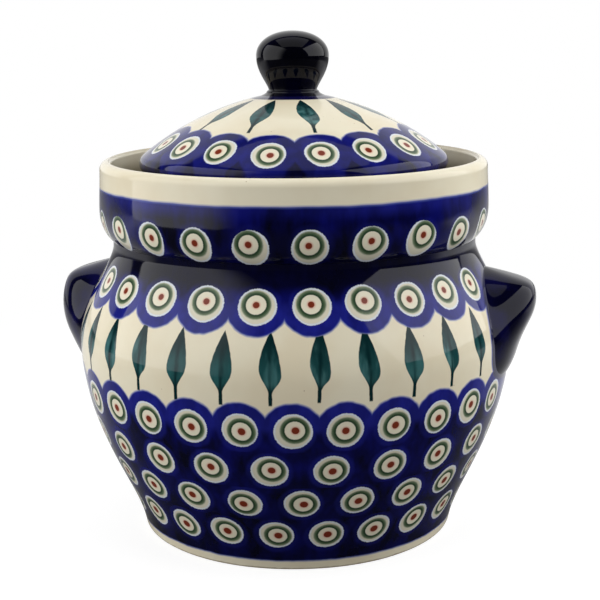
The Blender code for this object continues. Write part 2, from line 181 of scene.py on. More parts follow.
# Lighter line where cobalt meets cream: where it grows and fades across the edge, and its strength
POT_HALO = ((-0.9, 0.1), (0.9, 0.2), 0.6)
COLLAR_HALO = ((-1.44, 0), (1.1, 0.1), 0.55)
LOBE_RADIUS = 15.4  # of the scallop round an eye
EYE_RADIUS = 9.35
EYE_GROWTH = 0.5
RING_SCATTER_ACROSS = 1.9  # how far ring and dot may miss the middle
RING_SCATTER_ALONG = 1.7
DOT_SCATTER = 0.9
RING_OUTER = 7.35
RING_INNER = 4.95
DOT_RADIUS = 1.85
DOT_HALO = 2.5
SHOULDER_BLUE = 147  # all blue above
BELLY_BLUE = 86.6  # all blue below
LUG_BORDER = 1.2  # of navy glaze round a lug's foot
LUG_NOMINAL_HALF = 30  # turns a share of a lug into millimetres
WALL_CURVE_STEPS = 10
WALL_CURVE_REACH = 0.2  # its largest radius, in metres
LOW_WALL_TOP = 90  # below it, the pot's outside lies beyond this radius
LOW_WALL_RADIUS = 88
COLLAR_FACE_FROM = 104.5  # the collar's outside lies beyond this radius, or below this height
COLLAR_FACE_BELOW = 168.5
COLLAR_WASHES = 5  # times that the brush was loaded round the collar
COLLAR_WASH_FIRST = 32
WAIST_POOL_AND_SHADE = (150, 157)  # where the cobalt begins to darken and is darkest: glaze pooled thick under the collar's crease, and painted shade there
# heights where the cobalt begins to turn darker towards the foot, and is darkest
FOOT_DARKENING = (75, 20)
# where the cobalt darkens down to the collar's toe: pooled glaze and painted shade in the crease
TOE_POOL_AND_SHADE = (171, 165.5)
COLLAR_DEEP = (190, 180)
POOL_AND_SHADE_ABOVE = 160  # above it the cream in the channel darkens downwards: pooled glaze and painted shade
FOOT_DARK_BAND = (1.5, 0.7)  # heights between which the foot turns darker, and then bare
BARE_FOOT = (0.55, 0.25)
BARE_SKIRT = (0.6, 0.25)
DOME_STRETCH = 1.2  # of the dome's surface against its plan
LEAF_BASE = 106.4
# Leaves: count, turn of the first, tip, base, end of the stem, half width, stretch (below 0 for inwards),
# spread of their heights, degrees beside a lug's middle without a leaf, seed of their chances
POT_LEAVES = (31, 5.2, 136.4, LEAF_BASE, 100.2, 5.5, 1, 3, 24, 7)
LID_LEAVES = (11, 21.5, 24.5, 57, 62, 5.4, -DOME_STRETCH, 0, -1, 3)
STEM_HALF_WIDTH = 0.95
LEAF_BROADEST = 0.38  # share of a leaf's length from its base
LEAF_TIP_FULLNESS = 1.6
LEAF_FOOT_FULLNESS = 1.2
LEAF_BOW = 0.1  # how far a leaf bends, as a share of its length
LEAF_BOW_FROM = 0.4
LEAF_TILT = 0.14  # how far one side may reach up beyond the other
LEAF_TILT_LEFT = 0.03
LEAF_NARROWEST = 0.93  # share of the usual width
LEAF_WIDTH_SPREAD = 0.14
BARE_BESIDE_LUG = 15  # degrees beside a lug's middle without an eye
BARE_UNDER_LUG = 14.5  # the same for the row under the lug's foot
BELLY_ROW_FOOT = 74.5  # where that row begins
LID_EYE_RING = 77  # radius of the ring of eyes on the lid
LID_RING_OVAL = 1.9  # half of how far the ring draws in at the sides
LID_LOBE_RADIUS = 16.2
LID_SKIRT_HEIGHT = 36
KNOB_FOOT_LINE = 1.2  # of dark glaze round the knob's foot
# Rows of eyes: height, count, turn of the first, drift from even spacing at the sides and in front, stretch
ROWS = {
    "foot": (22.3, 23, 4.3, 0, 0, 1.08),
    "low": (43.2, 23, 12.2, 0, 0, 1.1),
    "middle": (63.2, 23, 4.2, 0, 0, 1.07),
    "belly": (85.8, 29, 9.4, 1, 0.6, 1.01),
    "shoulder": (146.8, 26, 11.1, 2.1, 4, 1.13),
    "collar": (175.9, 23, 2.2, 0.1, -2.5, 1),
    "lid": (LID_EYE_RING, 17, 3, -2.2, -1.5, DOME_STRETCH),
}

# Finish
GLAZE_GLOSS = 0.19
LUG_GLOSS = 0.135
KNOB_GLOSS = 0.17
GLAZE_ROUGHNESS = 0.055
NAVY_ROUGHNESS = 0.05
CLAY_ROUGHNESS = 0.82
BARE_ROUGHNESS = 0.7  # more than the glaze's
GLAZE_RELIEF = 0.1
CLAY_RELIEF = 0.25
SPECK_GRAIN = 5.5  # spacing of the specks, and the share of it that they fill
SPECK_SIZE = (0.075, 0.035)
GRAIN_SPACING = 1.6
GRAIN_SIZE = (0.2, 0.08)

# Clouds: the noise levels between which they rise, grain in millimetres, detail, upright draw
CREAM_CLOUDS = (0.38, 0.68, 38, 3)
SPECK_PATCHES = (0.52, 0.66, 16, 1)
COBALT_CLOUDS = (0.36, 0.7, 17, 4, 0.7)
COBALT_STROKES = (0.35, 0.7, 6, 2, 0.35)
RING_WET = (0.3, 0.65, 5, 2)
LEAF_STROKES = (0.35, 0.68, 4.5, 2, 0.16)
NAVY_CLOUDS = (0.4, 0.7, 20, 3)
CLAY_CLOUDS = (0.35, 0.7, 14, 4)

# Edges drawn by hand: width of the wavering, its grain in millimetres, detail
EYE_EDGE_FINE = (0.7, 0.9, 1)
EYE_EDGE_BROAD = (0.8, 10, 1)
LOBE_EDGE = (1.2, 5, 1)
POT_EDGE = (2.2, 11, 2)
COLLAR_EDGE = (1.6, 24, 2)
LEAF_EDGE = (0.45, 3, 1)
FOOT_BAND_EDGE = (1.2, 4, 2)


def rgb(*channels):
    """A screen colour, 0 to 255, as the linear colour that the shaders take."""
    shares = (channel / 255 for channel in channels)
    linear = (s / 12.92 if s <= 0.04045 else ((s + 0.055) / 1.055) ** 2.4 for s in shares)
    return (*linear, 1.0)


CREAM = rgb(238, 230, 205)
CREAM_WARM = rgb(228, 214, 183)
# cream darkened by pooled glaze and by painted shade, down in the channel and inside the collar
CREAM_POOLED_SHADE = rgb(146, 134, 100)
SPECK = rgb(150, 120, 84)
COBALT = rgb(12, 15, 101)
COBALT_DEEP = rgb(5, 5, 23)
COBALT_BRIGHT = rgb(32, 37, 138)
COBALT_EDGE = rgb(92, 108, 186)
EYE_WHITE = rgb(221, 227, 235)
EYE_GREY = rgb(223, 218, 197)
EYE_CREAM = rgb(236, 229, 206)
RING_DARK = rgb(48, 72, 50)
RING_PALE = rgb(132, 149, 116)
DOT = rgb(126, 50, 32)
DOT_GLOW = rgb(226, 160, 132)
LEAF_DARK = rgb(8, 40, 43)
LEAF_MIDDLE = rgb(40, 90, 91)
LEAF_LIGHT = rgb(96, 142, 142)
NAVY = rgb(12, 11, 62)
NAVY_DEEP = rgb(3, 3, 28)
NAVY_BLACK = rgb(2, 2, 9)
CLAY = rgb(206, 192, 166)
CLAY_DARK = rgb(172, 154, 126)
FLOOR_COLOUR = rgb(150, 150, 150)
FLOOR_IN_GLAZE = rgb(232, 232, 232)
FLOOR_FAR = rgb(84, 84, 84)  # in front, as the glaze shows it
WHITE = (1.0, 1.0, 1.0, 1.0)


# Outlines

def bezier(start, start_pull, end_pull, end, steps):
    """Points of a cubic curve, without its first point."""
    points = []
    for i in range(1, steps + 1):
        t = i / steps
        weights = ((1 - t) ** 3, 3 * (1 - t) ** 2 * t, 3 * (1 - t) * t ** 2, t ** 3)
        corners = (start, start_pull, end_pull, end)
        points.append(tuple(sum(w * c[axis] for w, c in zip(weights, corners)) for axis in (0, 1)))
    return points


def rounded(start, corner, end, steps):
    """Points of a curve that leaves start towards a corner and comes from it to end, without start."""
    pulls = [tuple(p[axis] + (corner[axis] - p[axis]) * CORNER_PULL for axis in (0, 1)) for p in (start, end)]
    return bezier(start, pulls[0], pulls[1], end, steps)


def arc(centre, radius, from_degrees, to_degrees, steps):
    """Points on a circle, both ends included; 0 degrees points outwards and 90 points up."""
    points = []
    for i in range(steps + 1):
        angle = radians(from_degrees + (to_degrees - from_degrees) * i / steps)
        points.append((centre[0] + radius * cos(angle), centre[1] + radius * sin(angle)))
    return points


class Sizes:
    """Heights and radii read from the CAD frame, and those that follow from them."""

    def __init__(self):
        collar_low, collar_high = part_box("channel_collar")
        lid_low, lid_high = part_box("lid_dome")
        weight_low, weight_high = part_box("weight_right")
        self.belly_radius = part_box("jar_body")[1][0]
        self.neck_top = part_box("neck_ring")[1][2]
        self.shelf_top = self.neck_top - NECK_HEIGHT
        self.collar_radius = collar_high[0]
        self.collar_base, self.rim_height = collar_low[2], collar_high[2]
        self.lid_radius = lid_high[0]
        self.skirt_foot = lid_low[2]
        self.knob_foot_radius, _, self.knob_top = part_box("lid_knob")[1]
        self.handle_foot, self.handle_top = (corner[2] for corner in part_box("handle_right"))
        self.weight_radius = weight_high[0]
        self.weight_foot = weight_low[2]
        self.weight_thickness = weight_high[2] - weight_low[2]
        self.floor_top = FOOT_RECESS + FLOOR
        self.edge_middle = self.lid_radius - LID_EDGE_ROUNDING
        self.dome_end = asin((self.edge_middle + DOME_OFFSET) / (DOME_RADIUS - LID_EDGE_ROUNDING))
        self.dome_middle = LID_EDGE_HEIGHT - (DOME_RADIUS - LID_EDGE_ROUNDING) * cos(self.dome_end)

    def dome_height(self, radius):
        return self.dome_middle + sqrt(DOME_RADIUS ** 2 - (radius + DOME_OFFSET) ** 2)

    def outer_wall(self):
        """The pot's outer wall, from the foot up over the belly to the waist."""
        start = (FOOT_RADIUS + FOOT_ROUNDING, FOOT_ROUNDING * 3)
        foot_pull = (start[0] + FOOT_LEAN_RUN * sin(FOOT_LEAN), start[1] + FOOT_LEAN_RUN * cos(FOOT_LEAN))
        belly = (self.belly_radius, BELLY_HEIGHT)
        lower = bezier(start, foot_pull, (belly[0], BELLY_HEIGHT - BELLY_LOWER_FULLNESS), belly, 48)
        upper = bezier(belly, (belly[0], BELLY_HEIGHT + BELLY_UPPER_FULLNESS),
                       (WAIST_RADIUS, WAIST_HEIGHT - WAIST_RUN), (WAIST_RADIUS, WAIST_HEIGHT), 36)
        return [start] + lower + upper

    def wall_radius(self, height):
        points = self.outer_wall()
        for (low_radius, low), (high_radius, high) in zip(points, points[1:]):
            if low <= height <= high:
                return low_radius + (high_radius - low_radius) * (height - low) / (high - low)
        return points[0][0] if height < points[0][1] else points[-1][0]


def inset(points, distance):
    """The same run of points, moved sideways towards the axis, square to the run."""
    moved = []
    for i, (radius, height) in enumerate(points):
        before = points[max(i - 1, 0)]
        after = points[min(i + 1, len(points) - 1)]
        along = (after[0] - before[0], after[1] - before[1])
        length = hypot(*along)
        moved.append((radius - distance * along[1] / length, height + distance * along[0] / length))
    return moved


def pot_outline(size):
    """From the middle of the floor inside, up over the neck and down the outer wall to the foot."""
    wall = size.outer_wall()
    corner_height = size.floor_top + FLOOR_FILLET
    corner_middle = (size.wall_radius(corner_height) - WALL - FLOOR_FILLET, corner_height)
    corner = arc(corner_middle, FLOOR_FILLET, -90, -10, 12)
    underside = size.shelf_top - SHELF
    spring = underside - SHOULDER_SPRING
    rising = [p for p in inset(wall, WALL) if corner_height + FLOOR_FILLET / 2 < p[1] < spring]
    throat_radius = MOUTH_RADIUS + THROAT_ROUNDING
    shoulder = rounded(rising[-1], (WAIST_RADIUS - WALL, underside), (throat_radius, underside), 20)
    throat = arc((throat_radius, underside + THROAT_ROUNDING), THROAT_ROUNDING, -90, -180, 8)[1:]
    half_neck = NECK_WALL / 2
    neck_top = arc((MOUTH_RADIUS + half_neck, size.neck_top - half_neck), half_neck, 180, 0, 24)
    neck_radius = MOUTH_RADIUS + NECK_WALL
    fillet = arc((neck_radius + CHANNEL_FILLET, size.shelf_top + CHANNEL_FILLET), CHANNEL_FILLET, 180, 270, 8)
    seat_radius = WAIST_RADIUS - SEAT_WIDTH
    seat = [(seat_radius, size.shelf_top), (seat_radius, size.collar_base), (WAIST_RADIUS, size.collar_base)]
    foot = arc((FOOT_RADIUS - FOOT_ROUNDING / 2, FOOT_ROUNDING), FOOT_ROUNDING, 0, -90, 6)
    ring_inside = FOOT_RADIUS - FOOT_RING_WIDTH
    recess = [(ring_inside, 0.0), (ring_inside - FOOT_RECESS, FOOT_RECESS), (0.0, FOOT_RECESS)]
    return ([(0.0, size.floor_top)] + corner + rising + shoulder + throat + neck_top + fillet + seat
            + wall[::-1] + foot + recess)


def collar_outline(size):
    """The luted ring outside the channel, from the top of its rim down its outer side and back up inside."""
    radius = size.collar_radius
    bore = radius - COLLAR_WALL
    base = size.collar_base - SINK
    rim_middle = (radius - RIM_DRAW_IN - RIM_ROUNDING, size.rim_height - RIM_ROUNDING)
    rim = arc(rim_middle, RIM_ROUNDING, 90, 0, 16)
    swell_top = (radius, base + COLLAR_SWELL)
    rim_foot = rim[-1]
    side = bezier(rim_foot, (rim_foot[0], rim_foot[1] - RIM_ROUNDING), (radius, base + COLLAR_WIDEST),
                  swell_top, 14)
    toe_pull = (WAIST_RADIUS + COLLAR_TOE_PULL * cos(COLLAR_TOE_LEAN),
                base + COLLAR_TOE_PULL * sin(COLLAR_TOE_LEAN))
    swell = bezier(swell_top, (radius, swell_top[1] - COLLAR_SWELL_PULL), toe_pull, (WAIST_RADIUS, base), 24)
    seat_radius = WAIST_RADIUS - SEAT_WIDTH
    tongue = [(seat_radius, base), (seat_radius, size.shelf_top)]
    fillet = arc((bore - CHANNEL_FILLET, size.shelf_top + CHANNEL_FILLET), CHANNEL_FILLET, -90, 0, 10)
    lip = arc((bore + RIM_LIP, size.rim_height - RIM_DISH - RIM_LIP), RIM_LIP, 180, 100, 6)
    return rim + side + swell + tongue + fillet + lip


def lid_outline(size):
    """Bell lid: dome, rounded edge, tucked-in skirt and back up inside."""

    def dome_arc(depth, end, steps):
        reach = DOME_RADIUS - depth
        start = asin(DOME_OFFSET / reach)
        points = arc((-DOME_OFFSET, size.dome_middle), reach, 90 - degrees(start), 90 - degrees(end), steps)
        return [(0.0, points[0][1])] + points[1:]

    foot = size.skirt_foot
    bore = SKIRT_RADIUS - LID_WALL
    edge = arc((size.edge_middle, LID_EDGE_HEIGHT), LID_EDGE_ROUNDING, 90 - degrees(size.dome_end),
               LID_TUCK, 28)[1:]
    skirt_top = (SKIRT_RADIUS, LID_EDGE_HEIGHT - SKIRT_TOP_DROP)
    neck = rounded(edge[-1], (SKIRT_RADIUS, edge[-1][1] - SKIRT_EDGE), skirt_top, 6)
    skirt = [(SKIRT_RADIUS, foot + SKIRT_EDGE), (SKIRT_RADIUS - SKIRT_EDGE, foot),
             (bore + SKIRT_EDGE, foot), (bore, foot + SKIRT_EDGE)]
    inner_end = asin((bore - LID_CORNER + DOME_OFFSET) / (DOME_RADIUS - LID_WALL))
    inside = dome_arc(LID_WALL, inner_end, 40)
    corner = (bore, inside[-1][1] - LID_CORNER * tan(inner_end))
    corner_foot = (bore, corner[1] - LID_CORNER)
    return (dome_arc(0.0, size.dome_end, 64) + edge + neck + skirt + [corner_foot]
            + rounded(corner_foot, corner, inside[-1], 12)[:-1] + inside[::-1])


def knob_outline(size):
    """Bulb knob with a spread foot that follows the dome."""
    foot_height = size.dome_height(size.knob_foot_radius)
    widest = size.knob_top - KNOB_CROWN
    cap = [(0.0, size.knob_top)]
    for i in range(1, KNOB_CROWN_STEPS):
        turn = pi / 2 * (1 - i / KNOB_CROWN_STEPS)
        cap.append((KNOB_RADIUS * cos(turn) ** (2 / KNOB_ROUNDNESS),
                    widest + KNOB_CROWN * sin(turn) ** (2 / KNOB_ROUNDNESS)))
    cap.append((KNOB_RADIUS, widest))
    waist = (KNOB_WAIST_RADIUS, foot_height + KNOB_WAIST_HEIGHT)
    bead = (KNOB_WAIST_RADIUS + KNOB_BEAD, waist[1] - KNOB_BEAD_DROP)
    taper = bezier(cap[-1], (KNOB_RADIUS, widest - KNOB_TAPER), (bead[0], waist[1] + KNOB_WAIST_PULL),
                   waist, KNOB_CROWN_STEPS)
    groove = bezier(waist, (waist[0], waist[1] - KNOB_BEAD / 2), (bead[0], bead[1] + KNOB_BEAD / 2), bead, 5)
    edge = (size.knob_foot_radius, foot_height - KNOB_FOOT_CREEP)
    spread = rounded(bead, (bead[0], foot_height + KNOB_FOOT_EDGE * 2), edge, 18)
    under_radii = (size.knob_foot_radius * KNOB_UNDER_EDGE, KNOB_UNDER_MIDDLE, 0.0)
    under = [(radius, size.dome_height(radius) - SINK) for radius in under_radii]
    return cap + taper + groove + spread + under


# Mesh building

def polar(radius, angle, height):
    return Vector((radius * cos(angle), radius * sin(angle), height))


def wander(point, sway):
    """A point of a turned wall, moved in or out a little as a hand-made wall is."""
    if sway == 0.0 or hypot(point.x, point.y) < WOBBLE_FROM:
        return point
    swell = noise.noise(point / WOBBLE_SIZE)
    swell += RIPPLE * noise.noise(point / WOBBLE_SIZE * RIPPLE_FINENESS)
    outward = Vector((point.x, point.y, 0.0)).normalized()
    return point + outward * swell * sway


def linked(name, data):
    piece = bpy.data.objects.new(name, data)
    bpy.context.scene.collection.objects.link(piece)
    return piece


def linked_mesh(name, work, sharp_from=None):
    """A piece of the work mesh; one with a sharp angle is turned right side out and shaded smooth."""
    if sharp_from:
        bmesh.ops.recalc_face_normals(work, faces=work.faces)
    mesh = bpy.data.meshes.new(name)
    work.to_mesh(mesh)
    work.free()
    if sharp_from:
        mesh.shade_smooth()
        mesh.set_sharp_from_angle(angle=sharp_from)
    return linked(name, mesh)


def turned(name, outline, sides, closed=False, sway=HAND_WOBBLE):
    """A piece spun from its outline about Z; a point on the axis becomes one pole."""
    work = bmesh.new()
    rings = []
    for radius, height in outline:
        if radius == 0.0:
            rings.append([work.verts.new((0.0, 0.0, height))])
            continue
        points = (polar(radius, tau * i / sides, height) for i in range(sides))
        rings.append([work.verts.new(wander(point, sway)) for point in points])
    pairs = list(zip(rings, rings[1:]))
    if closed:
        pairs.append((rings[-1], rings[0]))
    for upper, lower in pairs:
        for i in range(sides):
            j = (i + 1) % sides
            around = ((upper, i), (lower, i), (lower, j), (upper, j))
            corners = [ring[k % len(ring)] for ring, k in around]
            work.faces.new(list(dict.fromkeys(corners)))
    return linked_mesh(name, work, SHARP_ANGLE)


def lean_rim(collar, size):
    """Tips the rim a little towards the camera, fading out down the collar."""
    front = polar(1.0, VIEW_TURN - pi / 2, 0.0)
    for vertex in collar.data.vertices:
        rise = (vertex.co.z - size.rim_height + RIM_LEAN_FROM) / RIM_LEAN_FROM
        if rise > 0:
            vertex.co.z -= RIM_LEAN * min(rise, 1.0) ** 2 * vertex.co.dot(front) / size.collar_radius
    return collar


def handle_half_width(size, height):
    """The handle's root is an arch: broad and flat below, drawn in towards the top."""
    if height > HANDLE_BROADEST:
        rise, fullness = (height - HANDLE_BROADEST) / (size.handle_top - HANDLE_BROADEST), HANDLE_ARCH
    else:
        rise, fullness = (HANDLE_BROADEST - height) / (HANDLE_BROADEST - size.handle_foot), HANDLE_BASE
    return HANDLE_HALF_WIDTH * max(1 - min(rise, 1.0) ** fullness, 0.0) ** (1 / fullness)


def handle_reach(share):
    """How far the lug stands out of the wall: a long slope up to the crest, then a short one to the top."""
    if share in (0.0, 1.0):
        return 0.0
    underside = share / HANDLE_CREST
    top = (1 - share) / (1 - HANDLE_CREST)
    power = -HANDLE_CREST_SHARPNESS
    return HANDLE_REACH * (underside ** power + top ** power + 1) ** (1 / power)


def bridge(work, first, second):
    """Faces between two runs of as many points."""
    for k in range(len(first) - 1):
        work.faces.new((first[k], first[k + 1], second[k + 1], second[k]))


def handle(name, size, side, hollow=0.0, settle=0.0):
    """An ear-shaped lug, lofted from the wall, with its edge and its back sunk into it."""
    work = bmesh.new()
    skins = []
    for is_front in (True, False):
        rows = []
        for i in range(HANDLE_CELLS + 1):
            share = (1 - cos(pi * i / HANDLE_CELLS)) / 2
            height = size.handle_foot + (size.handle_top - settle - size.handle_foot) * share
            wall = size.wall_radius(height)
            half_angle = handle_half_width(size, height + settle * share) / wall
            hollowed = exp(-((share - LUG_HOLLOW_AT) / LUG_HOLLOW_SPREAD) ** 2)
            reach = handle_reach(share) - hollow * hollowed
            row = []
            for k in range(HANDLE_CELLS + 1):
                across = sin(pi / 2 * (2 * k / HANDLE_CELLS - 1))
                swell = 1 - (1 - (1 - abs(across)) ** HANDLE_ROOT_FLARE) ** HANDLE_CHEEK
                radius = wall - SINK + ((reach + SINK * 2.5) * swell if is_front else -SINK)
                row.append(work.verts.new(polar(side * radius, half_angle * across, height)))
            rows.append(row)
        skins.append(rows)
    for rows in skins:
        for low, high in zip(rows, rows[1:]):
            bridge(work, low, high)
    for end in (0, -1):
        bridge(work, *([row[end] for row in rows] for rows in skins))
        bridge(work, *(rows[end] for rows in skins))
    bmesh.ops.remove_doubles(work, verts=work.verts, dist=SINK / 20)
    return linked_mesh(name, work, LUG_SHARP_ANGLE)


def weight(name, size, side):
    """A half-moon stone with a half-round finger notch and rounded edges."""
    straight = WEIGHT_SPLIT / 2
    half_turn = 90 - degrees(asin(straight / size.weight_radius))
    half_notch = 90 - degrees(asin(straight / FINGER_NOTCH_RADIUS))
    outline = (arc((0.0, 0.0), size.weight_radius, -half_turn, half_turn, WEIGHT_ARC_STEPS)
               + arc((0.0, 0.0), FINGER_NOTCH_RADIUS, half_notch, -half_notch, FINGER_NOTCH_STEPS))
    work = bmesh.new()
    face = work.faces.new([work.verts.new((side * x, side * y, size.weight_foot)) for x, y in outline])
    face.normal_update()
    if face.normal.z < 0:
        face.normal_flip()
    piece = linked_mesh(name, work)
    thick = piece.modifiers.new("thickness", "SOLIDIFY")
    thick.thickness = size.weight_thickness
    thick.offset = 1.0
    edges = piece.modifiers.new("rounded edges", "BEVEL")
    edges.width = WEIGHT_ROUNDING
    edges.segments = WEIGHT_ROUNDING_STEPS
    edges.limit_method = "ANGLE"
    edges.angle_limit = WEIGHT_EDGE_ANGLE
    return piece


def cut_gas_notches(lid, size):
    """Two half-round notches in the skirt's foot, at the front and the back."""
    middle, height = SKIRT_RADIUS - LID_WALL / 2, size.skirt_foot - GAS_NOTCH_DROP
    for side in (1, -1):
        place = Matrix.Translation((0.0, side * middle, height)) @ Matrix.Rotation(pi / 2, 4, "X")
        work = bmesh.new()
        bmesh.ops.create_cone(
            work, cap_ends=True, segments=GAS_NOTCH_SIDES, radius1=GAS_NOTCH_RADIUS,
            radius2=GAS_NOTCH_RADIUS, depth=LID_WALL * 3, matrix=place)
        cutter = linked_mesh("gas_notch_cutter", work)
        cut = lid.modifiers.new("gas notch", "BOOLEAN")
        cut.object = cutter
        cut.solver = "EXACT"
        bpy.context.view_layer.objects.active = lid
        bpy.ops.object.modifier_apply(modifier=cut.name)
        bpy.data.objects.remove(cutter)


# Painting with nodes

class Wiring:
    """Adds nodes to one node tree and feeds their inputs."""

    def __init__(self, tree):
        self.tree = tree

    def feed(self, socket, value):
        """Sets an input to a constant, or links it to a field or to another node's output."""
        if isinstance(value, Field):
            value = value.socket
        if isinstance(value, bpy.types.NodeSocket):
            self.tree.links.new(value, socket)
        else:
            socket.default_value = value

    def add(self, kind, inputs=None, **settings):
        """A new node; its inputs are given by their names or numbers."""
        node = self.tree.nodes.new("ShaderNode" + kind)
        for key, value in settings.items():
            setattr(node, key, value)
        for key, value in (inputs or {}).items():
            self.feed(node.inputs[key], value)
        return node


def operation(name, swapped=False):
    """A method that joins a field and a number by one of the math node's operations."""

    def joined(field, other):
        return field.brush.calc(name, *((other, field) if swapped else (field, other)))

    return joined


class Field:
    """A number that varies over a surface: a node's output, with arithmetic."""

    def __init__(self, brush, socket):
        self.brush, self.socket = brush, socket

    __add__ = __radd__ = operation("ADD")
    __sub__ = operation("SUBTRACT")
    __rsub__ = operation("SUBTRACT", swapped=True)
    __mul__ = __rmul__ = operation("MULTIPLY")
    __truediv__ = operation("DIVIDE")
    __pow__ = operation("POWER")
    above = operation("GREATER_THAN")
    at_least = operation("MAXIMUM")
    at_most = operation("MINIMUM")

    def size(self):
        return self.brush.calc("ABSOLUTE", self)

    def hypot(self, other):
        return self.brush.calc("SQRT", self * self + other * other)

    def invert(self):
        return 1.0 - self

    def ramp(self, low, high):
        """0 below low, 1 above high and a smooth rise between; low may lie above high, for a fall."""
        inputs = {"Value": self, "From Min": min(low, high), "From Max": max(low, high),
                  "To Min": float(low > high), "To Max": float(low <= high)}
        node = self.brush.add("MapRange", inputs, interpolation_type="SMOOTHSTEP")
        return Field(self.brush, node.outputs["Result"])


class Brush(Wiring):
    """Builds one material's node tree and knows where on the crock a point lies."""

    def __init__(self, name):
        self.material = bpy.data.materials.new(name)
        self.material.use_nodes = True
        super().__init__(self.material.node_tree)
        self.shader = self.tree.nodes["Principled BSDF"]
        self.place = self.add("TexCoord").outputs["Object"]
        self.x, self.y, z = self.split("XYZ", self.place)
        self.turn = self.calc("ARCTAN2", self.x, self.y * -1.0) * degrees(1.0)
        self.radius = self.x.hypot(self.y) * PER_METRE
        self.height = z * PER_METRE

    def calc(self, name, *values):
        return Field(self, self.add("Math", dict(enumerate(values)), operation=name).outputs[0])

    def split(self, kind, value):
        """The three numbers of a vector or a colour."""
        return [Field(self, socket) for socket in self.add("Separate" + kind, {0: value}).outputs]

    def noise(self, grain_mm, detail, upright=1.0):
        """Cloudy noise, about 0.3 to 0.7, of that grain; an upright below 1 draws it out in height."""
        scaled = self.add("VectorMath", {0: self.place, 1: (1.0, 1.0, upright)}, operation="MULTIPLY")
        inputs = {"Vector": scaled.outputs[0], "Scale": PER_METRE / grain_mm, "Detail": detail}
        return Field(self, self.add("TexNoise", inputs).outputs["Fac"])

    def clouds(self, low, high, *grain):
        """Noise as a share: 0 in its hollows, below low, and 1 on its heights, above high."""
        return self.noise(*grain).ramp(low, high)

    def waver(self, width, *grain):
        """Noise round 0, some part of the width across, for an edge drawn by hand."""
        return (self.noise(*grain) - 0.5) * width

    def cells(self, grain_mm):
        """Distance to the nearest of many scattered points, in grains."""
        node = self.add("TexVoronoi", {"Vector": self.place, "Scale": PER_METRE / grain_mm})
        return Field(self, node.outputs["Distance"])

    def chances(self, first, second):
        """Three numbers from 0 to 1 that are fixed for each pair of whole numbers."""
        pair = self.add("CombineXYZ", {0: first, 1: second}).outputs[0]
        node = self.add("TexWhiteNoise", {"Vector": pair}, noise_dimensions="2D")
        return self.split("Color", node.outputs["Color"])

    def blend(self, share, first, second):
        """A colour between two colours, each a socket or four numbers."""
        return self.add("Mix", {"Factor": share, 6: first, 7: second}, data_type="RGBA").outputs[2]

    def finish(self, colour, roughness, relief, relief_mm=GLAZE_RELIEF, gloss=GLAZE_GLOSS):
        """Sets the shader's colour, roughness, gloss and relief."""
        bump = self.add("Bump", {"Strength": 1.0, "Distance": relief_mm * MM, "Height": relief})
        looks = {"Base Color": colour, "Roughness": roughness, "Specular IOR Level": gloss,
                 "Normal": bump.outputs[0]}
        for key, value in looks.items():
            self.feed(self.shader.inputs[key], value)
        return self.material


class Repeat:
    """One motif of a row that repeats round the axis: which one it is and where the point lies in it."""

    def __init__(self, brush, count, first, seed, sway=0.0, lean=0.0):
        angle = brush.turn * radians(1.0)
        drift = brush.calc("SINE", angle) * sway + brush.calc("COSINE", angle) * lean
        turns = (brush.turn - drift - first) * count / 360.0
        nearest = brush.calc("ROUND", turns)
        self.across = (turns - nearest) * brush.radius * tau / count
        self.middle = nearest * 360.0 / count + drift + first
        number = brush.calc("FLOORED_MODULO", nearest, count)
        self.chances = brush.chances(number, seed)

    def off_lug(self):
        """Degrees from the motif's middle to the middle of the nearer lug."""
        return (90.0 - self.middle.size()).size()


def banded(height, limits, values):
    """A value that steps from one row of eyes to the next, from the lowest row upwards."""
    total = values[0]
    for limit, low, high in zip(limits, values, values[1:]):
        if high != low:
            total = total + height.above(limit) * (high - low)
    return total


def eye_places(brush, measure, *names):
    """The nearest eye of the named rows, and how far along from its middle the point lies, in millimetres."""
    columns = list(zip(*(ROWS[name] for name in names)))
    limits = [(low + high) / 2 for low, high in zip(columns[0], columns[0][1:])]
    middle, count, first, sway, lean, stretch = (banded(measure, limits, column) for column in columns)
    return Repeat(brush, count, first, middle, sway, lean), (measure - middle) * stretch


def cream_glaze(brush):
    """Cream glaze over pale clay: faint warm clouds and a few iron specks."""
    base = brush.blend(brush.clouds(*CREAM_CLOUDS) * 0.55, CREAM, CREAM_WARM)
    specks = brush.cells(SPECK_GRAIN).ramp(*SPECK_SIZE) * brush.clouds(*SPECK_PATCHES)
    return brush.blend(specks * 0.6, base, SPECK)


def cobalt_glaze(brush, near_eye):
    """Brushed cobalt: deep where it lies thick, brighter round the eyes where the brush went."""
    strokes = brush.clouds(*COBALT_STROKES)
    share = (brush.clouds(*COBALT_CLOUDS) * 0.7 + strokes * 0.3).at_most(1.0)
    base = brush.blend(share, COBALT_DEEP, COBALT)
    return brush.blend(near_eye * (0.6 + strokes * 0.3), base, COBALT_BRIGHT)


def halo(brush, colour, edge, outside, shape):
    """Thin, lighter cobalt over the colour, along the line where the blue ends."""
    grown, gone, strength = shape
    return brush.blend(edge.ramp(*grown) * edge.ramp(*gone) * outside * strength, colour, COBALT_EDGE)


